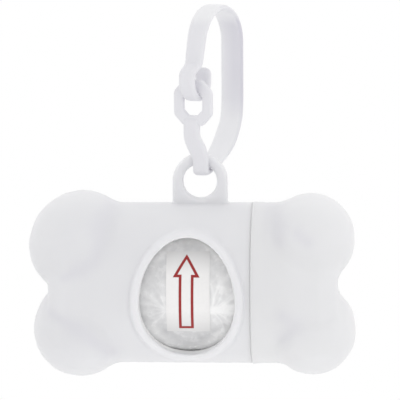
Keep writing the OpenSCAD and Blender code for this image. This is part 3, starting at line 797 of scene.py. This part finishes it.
def bag_turn():
    """Tube of film: radius BAG_R less the valleys between the creases outside and ROLL_R inside, closed over
    both rims. Below the label the loose end sags: it leaves the round along its tangent, R / cos of the angle
    past, until SAG stops it. Gives the tube and how white each point is: creased film is whiter, partly the
    film's stress whitening and partly painted highlight; film near the window's rim is whitest, painted
    light; the smooth band below the label is greyest; the right is a little whiter than the left, painted
    light. The creases fade below the label."""
    xs = grid_lines(ROLL_X - ROLL_L / 2, ROLL_X + ROLL_L / 2, 1.5, [(-13, 13, 0.16)])
    angle = grid_lines(-np.pi, np.pi, 0.05, [(-1.4, 1.3, 0.012)])[:-1, None]
    s = angle * BAG_R
    x = xs[None, :] + 0 * angle
    left = LEFT_SHARE * (fan(x, s, FAN_LEFT, 13, 3, 95, 200) + fan(x, s, FAN_LEFT, 5, 4, 200, 262))
    right = fan(x, s, FAN_RIGHT, 17, 8, -8, 86) + fan(x, s, FAN_RIGHT, 11, 9, -62, 4)
    crease = (1 - np.exp(-1.2 * (left + right))) * np.clip((angle - CREASE_FOOT) / CREASE_FADE, 0, 1)
    beside = np.clip((np.abs(x - BESIDE_MIDDLE) - BESIDE_FROM) / BESIDE_FADE, 0, 1)
    flutes = FLUTE * np.sin(s * 2.1 + 1.5 * np.sin(x * 0.5)) * beside
    past = np.clip(SAG_START - angle, 0, 0.7)
    sag = SAG * np.tanh((BAG_R / np.cos(past) - BAG_R) / SAG) * np.clip((angle + 2.7) / 0.8, 0, 1)
    outer = BAG_R - SLACK - VALLEY * beside * (1 - crease) + flutes + sag
    smooth = np.exp(-((angle + 0.74) / 0.1) ** 2) * np.clip((9 - np.abs(x)) / 3, 0, 1)
    # Painted light: the right side of the film is whiter than the left.
    white = PLAIN_WHITE + SIDE_PAINTED_LIGHT * np.tanh(x / 5)
    # Creases whiten: the film's stress whitening, with painted highlight along the ridges.
    white = white + (1 - white) * crease - SMOOTH_GREY * smooth
    skin = np.stack([x, -outer * np.cos(angle), ROLL_Z + outer * np.sin(angle)], -1)
    past_egg = egg_distance(skin, 0)
    rim = np.clip((past_egg + 3.2) / 1.8, 0, 1) * np.clip((5 - past_egg) / 3, 0, 1) * (skin[..., 1] < 0)
    # Painted light: film near the window's rim is whitened.
    white = np.maximum(white, RIM_PAINTED_LIGHT * rim * np.clip((np.abs(skin[..., 2] + 1) - 5) / 4, 0, 1))
    inner = np.full((len(angle), 2), ROLL_R + 0.02)
    r = np.concatenate([outer, inner], 1)
    x = np.concatenate([x, np.tile(xs[[-1, 0]], (len(angle), 1))], 1)
    white = np.concatenate([white, 0 * inner], 1)
    points = np.stack([x, -r * np.cos(angle), ROLL_Z + r * np.sin(angle)], -1)
    return tube_faces(points, closed=True), white.ravel()


turn_mesh, creases_and_painted_light = bag_turn()
bag = solid("outer_bag", *turn_mesh)
facing_out(bag)
bag.data.attributes.new("crease", "FLOAT", "POINT").data.foreach_set("value", creases_and_painted_light)
bag.data.materials.append(film("outer_film", (0.96, 0.96, 0.96), (0.6, 0.6, 0.61), 500.0, creases_and_painted_light=True))
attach(bag, "roll")
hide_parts("first_bag")


# Paper label: a strip of white paper stuck over the roll's loose end, printed with the outline of
# an arrow in red that shows which way the bags pull out.
LABEL_X, LABEL_S, LABEL_T, LABEL_ROWS = (-5.5, 5.12), (-10.2, 10.95), 0.15, 64
LABEL_GAP, INK_LIFT, SIDE_QUADS = 0.03, 0.03, 24
# Painted shade: the paper greys towards both ends of the label, where it curves away.
END_SHADE_MIDDLE, END_SHADE_FROM, END_SHADE_FADE = 0.4, 4.5, 5.5
ARROW = np.array([(-0.54, 9.47), (2.13, 4.5), (0.89, 4.5), (0.77, -8.83), (-2.17, -8.83), (-2.05, 4.55),
                  (-3.3, 4.55)])
ARROW_LINE = 0.66


def on_label(x, s, lift):
    """Point of the label's skin: x along the roll, s round it from the front, lift off the film."""
    r = BAG_R + LABEL_T + lift
    angle = s / (BAG_R + LABEL_T)
    return np.stack([x + 0 * r, -r * np.cos(angle), ROLL_Z + r * np.sin(angle)], -1)


def label_strip():
    """Strip with a closed edge: rings of four corners across the width, carried up round the roll."""
    s = np.linspace(*LABEL_S, LABEL_ROWS)[:, None]
    x = np.array([LABEL_X[0], LABEL_X[1], LABEL_X[1], LABEL_X[0]])[None, :] + 0 * s
    lift = np.array([0, 0, LABEL_GAP - LABEL_T, LABEL_GAP - LABEL_T])[None, :] + 0 * s
    return tube_faces(on_label(x, s + 0 * x, lift))


def printed_outline(corners, line, lift):
    """Printed line along a closed outline: each corner's inner and outer point lie on its mitre, half a
    line width from the sides, and each side is cut into SIDE_QUADS quads that follow the label."""
    before, after = np.roll(corners, 1, 0), np.roll(corners, -1, 0)
    into = (corners - before) / np.linalg.norm(corners - before, axis=1, keepdims=True)
    away = (after - corners) / np.linalg.norm(after - corners, axis=1, keepdims=True)
    side = np.stack([-into[:, 1] - away[:, 1], into[:, 0] + away[:, 0]], -1)
    side /= np.linalg.norm(side, axis=1, keepdims=True)
    mitre = side / (side * np.stack([-into[:, 1], into[:, 0]], -1)).sum(1, keepdims=True)
    edges = np.stack([corners - mitre * line / 2, corners + mitre * line / 2], 1)
    share = np.linspace(0, 1, SIDE_QUADS + 1)[:-1][None, :, None, None]
    flat = (edges[:, None] * (1 - share) + np.roll(edges, -1, 0)[:, None] * share).reshape(-1, 2, 2)
    points = on_label(flat[..., 0], flat[..., 1], np.full(flat.shape[:2], lift))
    number = np.arange(points.shape[0] * 2).reshape(-1, 2)
    after = np.roll(number, -1, 0)
    faces = np.stack([number[:, 0], number[:, 1], after[:, 1], after[:, 0]], -1)
    return points.reshape(-1, 3), faces.tolist()


strip_points, strip_faces = label_strip()
ink_points, ink_faces = printed_outline(ARROW, ARROW_LINE, INK_LIFT)
shift = len(strip_points)
label = solid("paper_label", np.concatenate([strip_points, ink_points]),
              strip_faces + [[i + shift for i in face] for face in ink_faces])
paper, tree, bsdf = shader("label_paper")
place = node(tree, "ShaderNodeTexCoord").outputs["Object"]
pulp = node(tree, "ShaderNodeTexNoise", Vector=place, Scale=1500.0, Detail=5.0)
tint = node(tree, "ShaderNodeMix", {"data_type": "RGBA"}, Factor=pulp.outputs["Fac"],
            _6=(0.86, 0.85, 0.845, 1), _7=(0.92, 0.91, 0.905, 1))
# Painted shade: the ends mark mixes the paper towards grey.
painted_end_shade = node(tree, "ShaderNodeAttribute", {"attribute_name": "ends"}).outputs["Fac"]
end_shaded_tint = node(tree, "ShaderNodeMix", {"data_type": "RGBA"}, Factor=painted_end_shade, _6=tint.outputs[2],
              _7=(0.74, 0.735, 0.735, 1))
tooth = node(tree, "ShaderNodeBump", Strength=0.15, Distance=0.00005, Height=pulp.outputs["Fac"])
tree.links.new(end_shaded_tint.outputs[2], bsdf.inputs["Base Color"])
tree.links.new(tooth.outputs["Normal"], bsdf.inputs["Normal"])
bsdf.inputs["Roughness"].default_value = 0.55
ink, tree, bsdf = shader("red_ink")
place = node(tree, "ShaderNodeTexCoord").outputs["Object"]
press = node(tree, "ShaderNodeTexNoise", Vector=place, Scale=1800.0, Detail=3.0)
tone = node(tree, "ShaderNodeMix", {"data_type": "RGBA"}, Factor=press.outputs["Fac"],
            _6=(0.27, 0.008, 0.01, 1), _7=(0.39, 0.016, 0.016, 1))
tree.links.new(tone.outputs[2], bsdf.inputs["Base Color"])
bsdf.inputs["Roughness"].default_value = 0.5
label.data.materials.append(paper)
label.data.materials.append(ink)
label.data.polygons.foreach_set("material_index", [0] * len(strip_faces) + [1] * len(ink_faces))
# The ends mark: painted shade that grows towards both ends of the strip, none on the ink.
run = np.repeat(np.linspace(*LABEL_S, LABEL_ROWS), 4)
ends = np.clip((np.abs(run - END_SHADE_MIDDLE) - END_SHADE_FROM) / END_SHADE_FADE, 0, 1)
ends = np.concatenate([ends, np.zeros(len(ink_points))])
label.data.attributes.new("ends", "FLOAT", "POINT").data.foreach_set("value", ends)
label.data.set_sharp_from_angle(angle=np.radians(40))
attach(label, "roll")
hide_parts("roll_label")


# Studio: the object hangs over a white floor in front of nothing but white. What the camera, a gloss or a
# clear surface sees of the floor and of the world is plain white. The light comes from a pale world, a little
# stronger from behind and from the right, and from two weak lamps in front, one above and one below.
FLOOR_GAP, WORLD_LIGHT, WORLD_SLOPE = 0.6, 0.995, (0.035, 0.1, 0.0)
LAMPS = (("front_light", (250, -900, 420), 0.8, 0.3), ("low_light", (120, -260, -480), 0.4, 0.25))
LAMPS_FACE = (0, 0, 20)


def white_when_seen(tree, other):
    """White light for rays of the camera, of gloss and of clear surfaces, and the other shader for the
    rest."""
    path = node(tree, "ShaderNodeLightPath").outputs
    seen = node(tree, "ShaderNodeMath", {"operation": "MAXIMUM"},
                _0=path["Is Camera Ray"], _1=path["Is Glossy Ray"])
    seen = node(tree, "ShaderNodeMath", {"operation": "MAXIMUM"},
                _0=seen.outputs[0], _1=path["Is Transmission Ray"])
    white = node(tree, "ShaderNodeEmission" if other.node.type != "BACKGROUND" else "ShaderNodeBackground",
                 Color=(1, 1, 1, 1), Strength=1.0)
    return node(tree, "ShaderNodeMixShader", _0=seen.outputs[0], _1=other, _2=white.outputs[0]).outputs[0]


bpy.ops.mesh.primitive_plane_add(size=12, location=(0, 0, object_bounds()[0].z - FLOOR_GAP))
floor = bpy.context.object
floor.name = "studio_floor"
floor_white, tree, bsdf = shader("floor_white")
bsdf.inputs["Base Color"].default_value = (0.97, 0.97, 0.97, 1)
bsdf.inputs["Roughness"].default_value = 0.9
tree.links.new(white_when_seen(tree, bsdf.outputs[0]), tree.nodes["Material Output"].inputs["Surface"])
floor.data.materials.append(floor_white)

world = bpy.data.worlds.new("pale_studio")
scene.world = world
world.use_nodes = True
tree = world.node_tree
pale = tree.nodes["Background"]
pale.inputs["Color"].default_value = (1, 1, 1, 1)
direction = node(tree, "ShaderNodeTexCoord").outputs["Generated"]
slope = node(tree, "ShaderNodeVectorMath", {"operation": "DOT_PRODUCT"}, _0=direction, _1=WORLD_SLOPE)
strength = node(tree, "ShaderNodeMath", {"operation": "ADD"}, _0=slope.outputs["Value"], _1=WORLD_LIGHT)
tree.links.new(strength.outputs[0], pale.inputs["Strength"])
tree.links.new(white_when_seen(tree, pale.outputs[0]), tree.nodes["World Output"].inputs["Surface"])

for name, spot, size, energy in LAMPS:
    lamp = bpy.data.objects.new(name, bpy.data.lights.new(name, "AREA"))
    scene.collection.objects.link(lamp)
    lamp.data.size = size
    lamp.data.energy = energy
    lamp.location = to_frame(spot)
    facing = Vector(to_frame(LAMPS_FACE)) - Vector(lamp.location)
    lamp.rotation_euler = facing.to_track_quat("-Z", "Y").to_euler()

scene.view_settings.view_transform = "Standard"
scene.cycles.max_bounces = 24
scene.cycles.diffuse_bounces = 16
